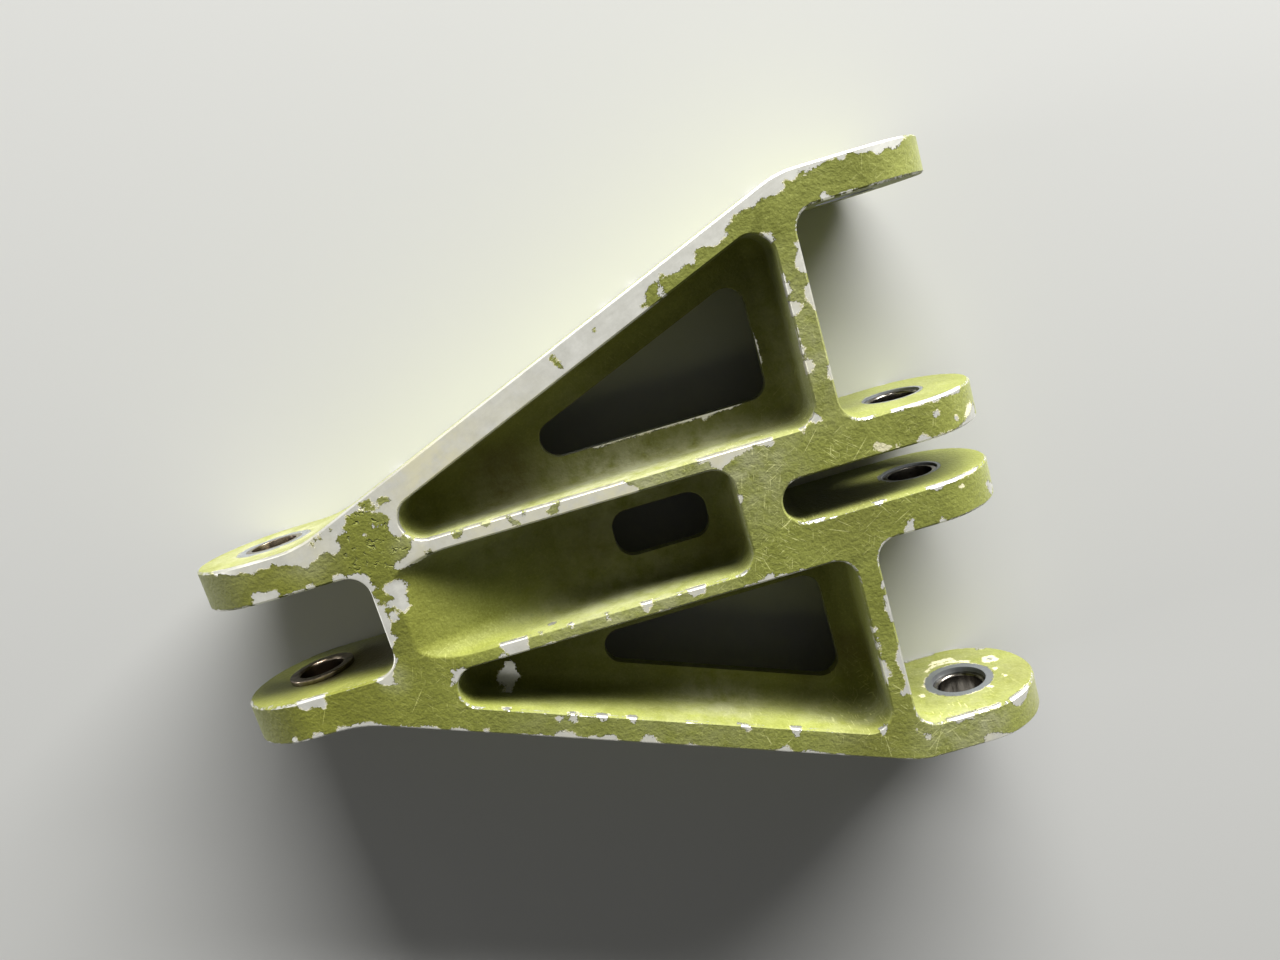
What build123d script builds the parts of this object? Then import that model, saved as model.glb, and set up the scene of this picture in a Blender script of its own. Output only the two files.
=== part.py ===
from build123d import *
from math import atan2, cos, tan
import os

# Torque link of an aircraft landing gear: one machined aluminium body with a two-eared
# fork at its narrow end, four coaxial ears at its wide end, and a steel bushing pressed
# into each of the six ears.
#
# Origin: middle of the narrow fork, on its hinge axis. +X runs along the centreline to
# the wide end, +Y along the hinge axes, +Z across the thickness. Sizes in millimetres.

# Body
thickness = 32.0
hinge_spacing = 136.0
web = 2.5

# Narrow fork
fork_gap = 22.0
fork_ear = 8.6
fork_root = 21.4

# Wide end: two outer ears, and two inner ears either side of a slot
wide_width = 125.0
outer_ear = 7.5
inner_ear = 8.0
slot_width = 9.3
slot_depth = 30.2
cross_setback = 14.4

# Rails, ribs and walls between the pockets
narrow_bend = 10.4
wide_bend = 15.4
rail_wall = 5.6
rib_wall = 3.0
cross_wall = 4.8
slot_wall = 8.3
centre_pocket = 22.4

# Ramp at the narrow end of the centre pocket
root_land = 4.8
ramp_run = 34.0
ramp_blend = 15.0

# Lightening holes in the webs
hole_margin = 6.0
hole_corner = 4.0
centre_hole = 21.0

# Radii and broken edges
root_radius = 4.6
pocket_radius = 4.5
narrow_bend_radius = 25.0
wide_bend_radius = 18.0
edge_break = 0.4

# Bushings
bolt_bore = 9.525
bushing_od = 12.0
flange_od = 14.0
flange = 1.1
outer_recess = 1.2
inner_recess = 0.4
bushing_break = 0.35

# Places that follow from the sizes above
half_thickness = thickness / 2
half_web = web / 2
fork_inside = fork_gap / 2
fork_outside = fork_inside + fork_ear
wide_outside = wide_width / 2
wide_inside = wide_outside - outer_ear
slot_side = slot_width / 2
inner_outside = slot_side + inner_ear
wide_end = hinge_spacing + half_thickness
cross_face = hinge_spacing - cross_setback
cross_back = cross_face - cross_wall
slot_foot = hinge_spacing - slot_depth
centre_side = centre_pocket / 2
rib_side = centre_side + rib_wall
centre_end = slot_foot - slot_wall
ramp_top = fork_root + root_land
ramp_foot = ramp_top + ramp_run
pocket_depth = half_thickness - half_web
clear = half_thickness

# Rail: its outer edge joins the two bends, its inner edge is one wall inside it
bend_x = hinge_spacing - wide_bend
rail_angle = atan2(wide_outside - fork_outside, bend_x - narrow_bend)
rail_slope = tan(rail_angle)
inner_shift = rail_wall / cos(rail_angle)
hole_shift = (rail_wall + hole_margin) / cos(rail_angle)


def rail_height(x, shift):
    """Distance from the centreline of a line set in from the rail's outer edge."""
    return fork_outside + (x - narrow_bend) * rail_slope - shift


def rail_reach(y, shift):
    """Distance along the centreline where that line has the given height."""
    return narrow_bend + (y - fork_outside + shift) / rail_slope


# Cutter for one side pocket: a triangle between rib, rail and cross wall. A ball-nosed mill
# leaves the same radius in the corners and along the floor.
with BuildPart() as side_pocket:
    with BuildSketch(Plane.XY.offset(half_web)):
        Polygon(
            (rail_reach(rib_side, inner_shift), rib_side),
            (cross_back, rib_side),
            (cross_back, rail_height(cross_back, inner_shift)),
            align=None,
        )
    extrude(amount=pocket_depth + clear)
    fillet(side_pocket.edges().filter_by(Axis.Z), radius=pocket_radius)
    fillet(side_pocket.faces().sort_by(Axis.Z)[0].edges(), radius=pocket_radius)

# Cutter for the centre pocket: a channel whose floor ramps up to the face
ramp_rise = pocket_depth / ramp_run
with BuildPart() as centre_cutter:
    with BuildSketch(Plane.XZ):
        Polygon(
            (ramp_top - clear / ramp_rise, half_thickness + clear),
            (ramp_foot, half_web),
            (centre_end, half_web),
            (centre_end, half_thickness + clear),
            align=None,
        )
    extrude(amount=centre_side, both=True)
    lowest = centre_cutter.edges().filter_by(Axis.Y).group_by(Axis.Z)[0]
    fillet(lowest.sort_by(Axis.X)[0], radius=ramp_blend)
    fillet(centre_cutter.edges().filter_by(Axis.Z), radius=pocket_radius)
    top = half_thickness + clear
    floor_edges = centre_cutter.edges().filter_by(lambda e: e.center().Z < top - 1)
    walls = floor_edges.filter_by(Axis.Z)
    ramp_lines = floor_edges.filter_by(Axis.Y)
    sides = [e for e in floor_edges if e not in walls and e not in ramp_lines]
    fillet(sides, radius=pocket_radius)


def is_outer_edge(edge):
    """Edges on the two flat faces, and those round the sides of the ears."""
    middle = edge @ 0.5
    on_face = abs(abs(middle.Z) - half_thickness) < 0.01 and abs((edge @ 0).Z - middle.Z) < 0.01
    round_end = middle.X < -0.1 or middle.X > hinge_spacing + 0.1
    return on_face or round_end


# Body: plan outline, forks and slot, then the ends rounded about the hinge axes
with BuildPart() as link_body:
    with BuildSketch() as plan:
        with BuildLine():
            Polyline(
                (-half_thickness, 0),
                (-half_thickness, fork_outside),
                (narrow_bend, fork_outside),
                (bend_x, wide_outside),
                (wide_end, wide_outside),
                (wide_end, 0),
            )
            mirror(about=Plane.XZ)
        make_face()
        corners = plan.vertices()
        fillet(corners.filter_by(lambda v: abs(v.X - narrow_bend) < 0.1), narrow_bend_radius)
        corners = plan.vertices()
        fillet(corners.filter_by(lambda v: abs(v.X - bend_x) < 0.1), wide_bend_radius)
        with BuildSketch(mode=Mode.SUBTRACT):
            with Locations((fork_root, 0)):
                bay = Rectangle(thickness * 2, fork_gap, align=(Align.MAX, Align.CENTER))
            fillet(bay.vertices().group_by(Axis.X)[-1], root_radius)
        bay_width = wide_inside - inner_outside
        for side in (1, -1):
            with BuildSketch(mode=Mode.SUBTRACT):
                with Locations((cross_face, side * (wide_inside + inner_outside) / 2)):
                    bay = Rectangle(thickness * 2, bay_width, align=(Align.MIN, Align.CENTER))
                fillet(bay.vertices().group_by(Axis.X)[0], root_radius)
        with Locations((slot_foot + slot_depth, 0)):
            SlotOverall(slot_depth * 2, slot_width, mode=Mode.SUBTRACT)
    extrude(amount=half_thickness, both=True)
    with BuildSketch(Plane.XZ):
        with Locations((hinge_spacing / 2, 0)):
            SlotCenterToCenter(hinge_spacing, thickness)
    extrude(amount=wide_width, both=True, mode=Mode.INTERSECT)

    # Pockets, the same from both faces
    add(centre_cutter.part, mode=Mode.SUBTRACT)
    add(centre_cutter.part.mirror(Plane.XY), mode=Mode.SUBTRACT)
    for cutter in (side_pocket.part, side_pocket.part.mirror(Plane.XY)):
        add(cutter, mode=Mode.SUBTRACT)
        add(cutter.mirror(Plane.XZ), mode=Mode.SUBTRACT)

    # Lightening holes, one margin inside the pocket walls
    low = rib_side + hole_margin
    far = cross_back - hole_margin
    with BuildSketch() as holes:
        Polygon(
            (rail_reach(low, hole_shift), low),
            (far, low),
            (far, rail_height(far, hole_shift)),
            align=None,
        )
        mirror(about=Plane.XZ)
        with Locations((centre_end - hole_margin - centre_hole / 2, 0)):
            Rectangle(centre_hole, 2 * (centre_side - hole_margin))
        fillet(holes.vertices(), hole_corner)
    extrude(amount=thickness, both=True, mode=Mode.SUBTRACT)

    # Edges broken on both faces and along the ears
    outer = link_body.edges().filter_by(lambda e: is_outer_edge(e))
    chamfer(outer, edge_break)

    # Bores for the bushings
    with BuildSketch(Plane.XZ):
        with Locations((0, 0), (hinge_spacing, 0)):
            Circle(bushing_od / 2)
    extrude(amount=wide_width, both=True, mode=Mode.SUBTRACT)

link_body.part.label = "link_body"
os.makedirs("parts", exist_ok=True)
export_step(link_body.part, "parts/link_body.step")

# Narrow end: a flanged bushing in each ear, flange against the ear's inside face. The mouth
# on the flange side is chamfered.
for side, hand in ((1, "left"), (-1, "right")):
    with BuildPart() as narrow_bushing:
        with BuildSketch():
            with BuildLine():
                Polyline(
                    (bolt_bore / 2, side * fork_outside),
                    (bushing_od / 2, side * fork_outside),
                    (bushing_od / 2, side * fork_inside),
                    (flange_od / 2, side * fork_inside),
                    (flange_od / 2, side * (fork_inside - flange)),
                    (bolt_bore / 2, side * (fork_inside - flange)),
                    close=True,
                )
            make_face()
        revolve(axis=Axis.Y)
        mouth = narrow_bushing.edges().filter_by(GeomType.CIRCLE)
        mouth = mouth.filter_by(lambda e: abs(e.radius - bolt_bore / 2) < 0.01)
        mouth = mouth.sort_by(lambda e: abs(e.arc_center.Y))
        chamfer(mouth[0], bushing_break)
    narrow_bushing.part.label = f"narrow_bushing_{hand}"
    export_step(narrow_bushing.part, f"parts/narrow_bushing_{hand}.step")

# Wide end: a plain bushing in each ear. Those of the outer ears stand back from the inside
# face, those of the inner ears are a little short at both ends. The chamfered mouths are
# the ones that face the bays.
outer_span = (wide_inside + outer_recess, wide_outside)
inner_span = (inner_outside - inner_recess, slot_side + inner_recess)
for place, (bay_end, far_end) in (("outer", outer_span), ("inner", inner_span)):
    for side, hand in ((1, "left"), (-1, "right")):
        with BuildPart() as wide_bushing:
            with BuildSketch(Plane((hinge_spacing, side * bay_end, 0), z_dir=(0, side, 0))):
                Circle(bushing_od / 2)
                Circle(bolt_bore / 2, mode=Mode.SUBTRACT)
            extrude(amount=far_end - bay_end)
            mouth = wide_bushing.edges().filter_by(GeomType.CIRCLE)
            mouth = mouth.filter_by(lambda e: abs(e.radius - bolt_bore / 2) < 0.01)
            mouth = mouth.sort_by(lambda e: abs(e.arc_center.Y - side * bay_end))
            chamfer(mouth[0], bushing_break)
        wide_bushing.part.label = f"wide_{place}_bushing_{hand}"
        export_step(wide_bushing.part, f"parts/wide_{place}_bushing_{hand}.step")
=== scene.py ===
import math

import bmesh
import bpy
import numpy as np
from mathutils import Euler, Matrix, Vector, kdtree


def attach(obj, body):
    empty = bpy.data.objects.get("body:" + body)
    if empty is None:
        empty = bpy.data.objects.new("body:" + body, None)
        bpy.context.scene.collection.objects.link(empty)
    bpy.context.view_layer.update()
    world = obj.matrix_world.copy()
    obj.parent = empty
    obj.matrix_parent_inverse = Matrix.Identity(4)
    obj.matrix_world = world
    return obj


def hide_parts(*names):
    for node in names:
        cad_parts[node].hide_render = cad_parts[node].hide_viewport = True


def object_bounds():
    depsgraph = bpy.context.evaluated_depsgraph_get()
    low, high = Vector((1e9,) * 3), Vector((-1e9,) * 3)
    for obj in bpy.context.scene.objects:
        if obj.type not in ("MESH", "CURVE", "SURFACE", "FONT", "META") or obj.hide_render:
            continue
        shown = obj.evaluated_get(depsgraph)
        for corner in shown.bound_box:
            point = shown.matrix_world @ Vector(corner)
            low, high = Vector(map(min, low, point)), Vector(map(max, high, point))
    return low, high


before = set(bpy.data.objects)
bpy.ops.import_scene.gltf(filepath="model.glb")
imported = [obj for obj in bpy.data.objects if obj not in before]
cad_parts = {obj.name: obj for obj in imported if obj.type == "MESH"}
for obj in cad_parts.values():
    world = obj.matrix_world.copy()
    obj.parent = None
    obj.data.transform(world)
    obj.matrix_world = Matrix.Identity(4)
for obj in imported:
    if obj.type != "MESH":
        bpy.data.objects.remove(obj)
cad_box = [list(corner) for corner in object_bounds()]
MM = 0.001

# Camera. It looks down on the link from above its wide half, a little to the +Y side, with the
# narrow fork at the left and the hinge axes running up the picture.
camera_place = Vector((83.3, 49.1, 195.2)) * MM
camera_turn = (-11.1, -2.09, -16.29)
camera_lens = 25.97
sensor_width = 36
nearest_seen = 0.005

camera_data = bpy.data.cameras.new("camera")
camera_data.lens = camera_lens
camera_data.sensor_width = sensor_width
camera_data.clip_start = nearest_seen
camera = bpy.data.objects.new("camera", camera_data)
camera.location = camera_place
camera.rotation_euler = Euler([math.radians(angle) for angle in camera_turn])
bpy.context.scene.collection.objects.link(camera)
bpy.context.scene.camera = camera
bpy.context.scene.view_settings.view_transform = "Standard"


# Floor. A plain pale table top, one flat sheet, just under the link's lower face.
def linear(colour):
    """Linear RGBA of an sRGB colour written as six hex digits."""
    channels = [int(colour[i:i + 2], 16) / 255 for i in (0, 2, 4)]
    return [c / 12.92 if c <= 0.04045 else ((c + 0.055) / 1.055) ** 2.4 for c in channels] + [1]


def add_node(tree, kind, settings=None, **inputs):
    """Adds a shader node. An input is a value, or another node's output to link. It goes by its
    name, or by an underscore and its number."""
    node = tree.nodes.new(kind)
    for name, value in (settings or {}).items():
        setattr(node, name, value)
    for name, value in inputs.items():
        key = int(name[1:]) if name[1:].isdigit() else name.replace("_", " ")
        socket = node.inputs[key]
        if isinstance(value, bpy.types.NodeSocket):
            tree.links.new(value, socket)
        else:
            socket.default_value = value
    return node


floor_colour = "cbcbc7"
floor_size = 2.4
floor_middle = 0.07

floor_paint = bpy.data.materials.new("matt_table_top")
floor_paint.use_nodes = True
floor_shader = floor_paint.node_tree.nodes["Principled BSDF"]
floor_shader.inputs["Base Color"].default_value = linear(floor_colour)
floor_shader.inputs["Roughness"].default_value = 0.9

floor_mesh = bpy.data.meshes.new("floor")
reach = floor_size / 2
level = cad_box[0][2]
corners = [(floor_middle + x * reach, y * reach, level) for x, y in ((-1, -1), (1, -1), (1, 1), (-1, 1))]
floor_mesh.from_pydata(corners, [], [(0, 1, 2, 3)])
floor_mesh.materials.append(floor_paint)
floor = bpy.data.objects.new("floor", floor_mesh)
bpy.context.scene.collection.objects.link(floor)

# Light. One wide soft lamp stands low on the +Y side, towards the wide end, so the walls that face
# it are bright and the pockets lie in shade. A weaker one lights the walls that face the fork.
backdrop_colour = "ececea"
sky_level = 0.04
window = {"level": 4.4, "size": (1.9, 0.44), "side_angle": 27, "height_angle": 15.2}
reflector = {"level": 0.38, "size": (0.5, 0.3), "side_angle": -88, "height_angle": 7}
lamp_distance = 1.5
lamp_aim = Vector((0.07, 0, 0))

world = bpy.data.worlds.new("sky")
world.use_nodes = True
bpy.context.scene.world = world
sky = world.node_tree
sky.nodes.clear()
rays = add_node(sky, "ShaderNodeLightPath")
seen = add_node(sky, "ShaderNodeMath", {"operation": "MAXIMUM"},
                _0=rays.outputs["Is Camera Ray"], _1=rays.outputs["Is Transmission Ray"])
seen = add_node(sky, "ShaderNodeMath", {"operation": "MAXIMUM"},
                _0=seen.outputs[0], _1=rays.outputs["Is Glossy Ray"])
fill = add_node(sky, "ShaderNodeBackground", Color=(1, 1, 1, 1), Strength=sky_level)
backdrop = add_node(sky, "ShaderNodeBackground", Color=linear(backdrop_colour), Strength=1)
both = add_node(sky, "ShaderNodeMixShader", _0=seen.outputs[0], _1=fill.outputs[0], _2=backdrop.outputs[0])
add_node(sky, "ShaderNodeOutputWorld", Surface=both.outputs[0])

for name, lamp in (("window", window), ("reflector", reflector)):
    rise, turn = math.radians(lamp["height_angle"]), math.radians(lamp["side_angle"])
    towards = Vector((math.sin(turn) * math.cos(rise), math.cos(turn) * math.cos(rise), math.sin(rise)))
    lamp_data = bpy.data.lights.new(name, "AREA")
    lamp_data.shape = "RECTANGLE"
    lamp_data.size, lamp_data.size_y = lamp["size"]
    lamp_data.energy = lamp["level"] * math.pi ** 2 * lamp_distance ** 2
    lamp_object = bpy.data.objects.new(name, lamp_data)
    lamp_object.location = lamp_aim + towards * lamp_distance
    lamp_object.rotation_euler = towards.to_track_quat("Z", "Y").to_euler()
    bpy.context.scene.collection.objects.link(lamp_object)

# Link body. One aluminium forging machined all over, then sprayed with olive green primer. Years
# of handling have chipped the primer off the rails, the ribs and most edges, down to bare metal.
half_thickness = 16.0
hinge_spacing = 136.0
bushing_radius = 6.0
fork_ear_end = 20.0
wide_ear_start = 117.0
face_start = 14.8

# Bare patches on the upper face: outlines in mm, X and Y. Those on an edge run 1 mm over it.
upper_rail_bare = [
    (-9, 20.6), (-8.4, 19.8), (-7, 18.6), (-6, 19.2), (-4.4, 18.4), (-3, 18.1), (-2, 18.5), (0.4, 17.4),
    (2.4, 18), (4, 17.7), (5, 18.3), (6, 17.4), (8, 17), (9.8, 16.5), (10.2, 15.6), (11.2, 15.1),
    (12.2, 16.2), (13.8, 16.7), (15, 17.3), (16.4, 17.2), (17.3, 16.4), (18.8, 17.2), (19.2, 18),
    (18.6, 19), (19, 20), (21, 20.1), (20.6, 21.2), (21.5, 22), (22, 23.3), (25.5, 23.6), (26.5, 22.8),
    (28, 22.2), (29, 21.8), (30.2, 20.3), (29.6, 19.5), (29.2, 18.2), (29.4, 17), (30.8, 16.2),
    (32, 16.6), (34, 21), (88, 43), (93.5, 45.2), (93, 45.9), (91.5, 45.3), (90.2, 45.5), (89.4, 45.3),
    (89, 45.9), (90.6, 46.6), (91, 48.2), (92, 49), (93.3, 49.6), (93.9, 49.4), (93.2, 47.5),
    (93.6, 46.4), (94.2, 45.4), (95.6, 46), (94.3, 47), (94, 50), (94.4, 50.6), (95.2, 50.7), (95.6, 50),
    (98.5, 50.2), (99.3, 51), (101.2, 50.6), (101.9, 52), (102, 53), (103.5, 53.3), (104.8, 53.2),
    (106, 52.6), (108.7, 53.9), (108.4, 55.3), (109.5, 55.9), (110.9, 57.2), (113, 57.7), (114.8, 57.4),
    (115.5, 58.3), (117.3, 58.8), (118.5, 58.4), (121.1, 59), (121.3, 60.3), (122, 60.7), (123, 60.1),
    (124, 60.6), (124.6, 61.4), (125.5, 61.3), (126, 60.5), (127, 61.1), (130, 61.8), (131.8, 61.9),
    (132.4, 61.3), (133.4, 61.2), (133.9, 61.9), (135.4, 61.9), (136.2, 61.2), (138.6, 61.2),
    (139.6, 60.3), (140.8, 60.4), (142, 61.2), (143, 60.4), (144.8, 60.6), (145.6, 61.6), (147, 62),
    (146, 64), (119, 64), (60, 41), (20, 24), (0, 21),
]
left_rib_bare = [
    (27.4, 10.4), (28.3, 11.4), (30, 11.8), (31, 12.4), (32.3, 13.3), (32.7, 14.6), (34, 15.2),
    (72, 15.2), (76.3, 15.2), (76.6, 14), (77.6, 13.2), (78.7, 12.3), (78.9, 11), (76, 10.2), (36, 10.2),
    (29, 9.8),
]
fork_base_bare = [
    (17.8, 10.6), (18.4, 11.4), (20.4, 11.6), (21.6, 10.8), (22.3, 9.2), (22, 8.1), (23.3, 7.5),
    (21.8, 7.2), (21.7, 5.8), (22.5, 5), (22, 4.2), (22.7, 3.3), (23.1, 1.5), (23.2, -0.5), (22.4, -2),
    (22.8, -3), (23.6, -3.7), (22.5, -4.2), (22, -5.5), (20.4, -5.7), (20.4, 8),
]
rail_chips = [
    [(84.6, -42.2), (86.4, -43.3), (87.4, -44.2), (86.5, -44.9), (85.8, -43.8)],
    [(95, -46), (97.7, -47.2), (96.7, -48.5), (96, -49.4), (95.6, -48)],
    [(112.9, -52.6), (115, -52.2), (114.4, -53.6), (113.6, -54.1), (113.2, -53.4)],
    [(48.6, -29.9), (49.3, -29.5), (50.7, -29.9), (50.2, -30.4), (49.2, -31)],
    [(51.7, -29), (53.6, -29.6), (53.1, -31.3), (52.8, -32), (52, -31.7), (51.2, -31), (51.9, -30.4)],
    [(57, -31.2), (60, -32.4), (58.6, -33.1), (58.2, -33.6), (57.6, -33.3)],
    [(62.6, -33.2), (65.4, -34.2), (64.5, -35.5), (64, -36), (63.4, -34.9)],
    [(38.8, -24.2), (40.6, -25), (40, -25.6), (39.3, -25.4)],
    [(-5, -20.6), (-4.6, -18.1), (-3.8, -18.2), (-3.5, -20.6)],
    [(-0.8, -20.6), (0, -18.3), (2, -18.6), (2.8, -20.6)],
    [(4.2, -20.6), (5.5, -18.4), (7, -18.9), (10, -19), (12.5, -19.5), (16, -22), (15, -23)],
    [(17.4, -23), (17.8, -22), (18.9, -22.6), (20, -22.8), (21.5, -23.4), (24.5, -24.1), (25.4, -25.2),
     (25, -26.6)],
    [(26, -26.4), (27.6, -25.6), (29.5, -26.2), (30.8, -27), (30.6, -28.6)],
    [(33.6, -29), (33.8, -27.9), (34.9, -27.9), (34.6, -29.6)],
    [(41.6, -32.6), (43, -31.9), (45.5, -32.8), (47, -33.6), (48.3, -32.9), (49.7, -33.2), (51.3, -34.1),
     (52.6, -36.4), (51, -37)],
    [(53.4, -36.8), (54, -35.9), (55.5, -36), (56, -36.8), (58, -36.7), (59.2, -37.1), (60.4, -39.4),
     (59, -40)],
    [(63.6, -41), (65, -39.2), (65.9, -39), (67.1, -39.7), (67.4, -41), (69.6, -43), (66, -43)],
    [(72, -44), (74, -43.6), (76, -45), (75, -46.6)],
    [(90.8, -51), (93.5, -49.9), (94.2, -52), (93, -53.4)],
    [(95.6, -52.6), (98, -52.7), (101.2, -54.6), (100, -56)],
]
rib_chips = [
    [(42, -10.2), (42.9, -11.9), (43.6, -13), (43.9, -13.8), (44.4, -15), (48.3, -15), (48.1, -13),
     (48.8, -10.2)],
    [(41.8, -15), (41.7, -13.6), (42.5, -13), (43.3, -12.9), (43.2, -13.5), (44, -15)],
    [(50.6, -10.4), (51.4, -11.6), (52.6, -10.4)],
    [(50, -15), (50.8, -14), (52, -13.9), (52.6, -13.5), (53.5, -13.7), (54.6, -15)],
    [(56.8, -10.4), (57.4, -11.7), (58, -12.2), (58.3, -10.4)],
    [(64.9, -10.4), (65.1, -12.5), (65.8, -12.7), (65.6, -10.4)],
    [(72.4, -10.4), (72.8, -12.2), (73.4, -13.3), (74.2, -12.5), (74.9, -12), (75, -10.4)],
    [(82, -10.4), (82.8, -12.2), (83.6, -12.9), (85.9, -12.7), (86.5, -10.4)],
    [(75.6, -15), (76, -13.9), (77, -13.7), (78.6, -14.1), (79, -15)],
    [(92.8, -15), (94, -13.8), (97, -13.7), (99.3, -12.8), (100.2, -12.9), (100.7, -15)],
    [(101, -15), (102, -13.6), (103.8, -14), (106, -13.8), (108.4, -14.3), (108, -15)],
    [(30.6, -16.8), (31.2, -15.2), (31.9, -14.5), (31.5, -13.3), (32.3, -13.9), (33.8, -13.4),
     (34.6, -14.2), (33, -16)],
    [(91.4, 15), (91.9, 13.2), (94, 13.2), (94.2, 12), (95.6, 10.6), (96.8, 11.5), (98.6, 12.4),
     (102.6, 13.2), (103.4, 13.8), (105, 13.2), (106.8, 12.5), (107.2, 13.1), (106.8, 15)],
    [(112.4, 15), (113.3, 13.3), (114.4, 15)],
    [(114.8, 15.2), (116.4, 16.6), (117.5, 14.7), (116, 14.6)],
    [(97.2, 5), (98.2, 4.6), (98.3, 3.2), (97.2, 3)],
]
cross_wall_chips = [
    [(122.6, 49.5), (120.6, 49), (121, 47.7), (120.3, 46.5), (119.8, 45.2), (119.9, 44.4), (120.6, 43.4),
     (122.6, 42)],
    [(122.6, 41.4), (120.5, 40.6), (120.2, 39), (120.3, 38), (121, 37), (121.2, 36), (122.6, 34.4)],
    [(122.6, 25), (121, 24.6), (120.6, 23), (121.1, 22), (122.6, 21.2)],
    [(116.2, 42.8), (117.9, 42.4), (117.7, 41.5), (118, 40.6), (116.2, 39.4)],
    [(116.2, 38.7), (118.3, 38.4), (119.3, 37.6), (119, 36.8), (117.8, 36.2), (116.2, 35.6)],
    [(116.2, 30.4), (117.8, 29.4), (117.4, 28.4), (116.2, 27.6)],
    [(116.2, 27), (118.2, 26.8), (118.7, 25.6), (117.7, 24.5), (116.2, 24)],
    [(114.9, 52.5), (116.7, 52), (117.3, 50.6), (116, 50)],
    [(122.6, -20), (121.2, -21.2), (120.5, -22.3), (122.6, -22.8)],
    [(122.6, -24), (120.8, -24.2), (121, -25.8), (120.3, -27), (121, -28.2), (120.5, -29), (121.2, -30),
     (122.6, -32.8)],
    [(122.6, -34.8), (121.2, -35.1), (120.8, -37), (120.1, -38), (120.1, -39), (120.6, -41), (121, -42.4),
     (120.9, -44.6), (119.2, -45.9), (119.9, -46.6), (121, -46.4), (122.6, -48.2)],
    [(116.4, -30.2), (117.8, -30.3), (117.4, -31.3), (116.4, -31.4)],
    [(116.4, -33.5), (117.7, -33.5), (117.5, -35.1), (116.4, -35.2)],
    [(116.4, -36.8), (117.8, -38), (118, -40), (118.6, -41.3), (116.4, -42.2)],
]
fork_chips = [
    [(24, 6.5), (24.6, 7.6), (26, 7.7), (27.2, 8), (28.3, 7.4), (28.9, 6), (28.2, 5.2), (27.8, 3.8),
     (27.9, 2), (27.2, 1.2), (26.5, 0.9), (25.6, 2), (25.2, 2.7), (23.8, 2.9), (23.7, 3.9), (24.6, 4.2),
     (25.8, 3.9), (25.6, 4.9), (24.8, 5.6)],
    [(23.5, 1.7), (24.6, 1.9), (25.5, 1.2), (24.9, -0.2), (23.9, -0.2), (23.4, 0.6)],
    [(-1.8, 10.2), (-1.6, 11.4), (-1, 13.4), (0, 13.5), (1.5, 13), (3.8, 13), (4.1, 12), (3.2, 10.2)],
    [(9.2, 10.2), (9.8, 11.9), (11.2, 11.9), (11.8, 10.2)],
    [(14.6, 10.2), (15.6, 12.4), (17.5, 12.2), (17.9, 10.2)],
    [(20.2, -6.6), (21.4, -6.8), (22, -8), (21, -9.3), (19.8, -11), (19.7, -12.2), (20.2, -13),
     (19, -12.9), (17.2, -12.3), (16.4, -11.4), (16.6, -10.2)],
    [(-1.2, -10.2), (-0.8, -12), (0.2, -13), (2, -12.8), (3, -13.1), (4.6, -13.9), (4.8, -12.2),
     (5.4, -10.2)],
    [(-8.6, -10), (-7.8, -11.2), (-6.6, -10.6), (-5.6, -10)],
    [(23.6, 18.8), (24.6, 18.8), (24.2, 18.1)],
    [(26.1, 20.8), (26.5, 20.6), (26.9, 19.3), (26.4, 19.4)],
]
ear_chips = [
    [(127.4, 54), (127.4, 56), (128.4, 56.6), (128.8, 55.4), (129.9, 55.3), (130.2, 54)],
    [(131, 13.6), (131.4, 12.2), (134, 12.3), (136, 12.1), (139, 12.1), (140.4, 11.6), (141.2, 12.2),
     (146, 11.6), (147, 13.6)],
    [(124.8, 13.4), (125.4, 12.2), (127.4, 12.2), (128, 13.4)],
    [(139, 9.6), (139.8, 9.9), (140.4, 9.3), (139.8, 8.6), (139, 8.8)],
    [(143.6, 7.4), (144.3, 7.3), (144.3, 6.4), (143.6, 6.5)],
    [(134.8, 3.6), (134.9, 5.5), (135.8, 6.4), (137, 5.7), (138, 5), (144, 5), (147, 6), (150, 8),
     (150, 3.6)],
    [(134, -3.6), (134.6, -4.8), (136.4, -6), (137.6, -5.3), (141, -5), (146, -4.9), (150, -4),
     (150, -3)],
    [(122.6, -4), (124.6, -5.4), (126.8, -4)],
    [(107.4, -2.4), (108, -3.6), (110, -4.9), (113, -5), (113.4, -4)],
    [(127.4, -13.6), (128.8, -11), (129.3, -10), (130.3, -10), (130, -11.2), (130.5, -13.6)],
    [(135, -13.6), (136, -11.4), (136.8, -12.2), (137.4, -13.6)],
    [(123, -14), (124, -12.7), (124.8, -13.6)],
    [(148, -9), (149, -8.6), (151, -11), (149, -12)],
    [(121.8, -56.4), (122.8, -56.3), (123.5, -57.6), (122.9, -58), (122, -57.4)],
    [(127, -54), (127.4, -55.3), (129, -55.3), (129.4, -56.2), (130.2, -56), (131.8, -55.7),
     (132.6, -56.2), (133.6, -55.3), (139.4, -55.2), (139.8, -54)],
    [(141.4, -54), (142, -56.3), (143.8, -57.4), (145.6, -56.8), (147, -55.6), (148, -54)],
    [(134, -63.6), (134.4, -61), (135.2, -60.2), (136.2, -60.6), (137.4, -61), (140, -62), (141, -63.6)],
]
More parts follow.
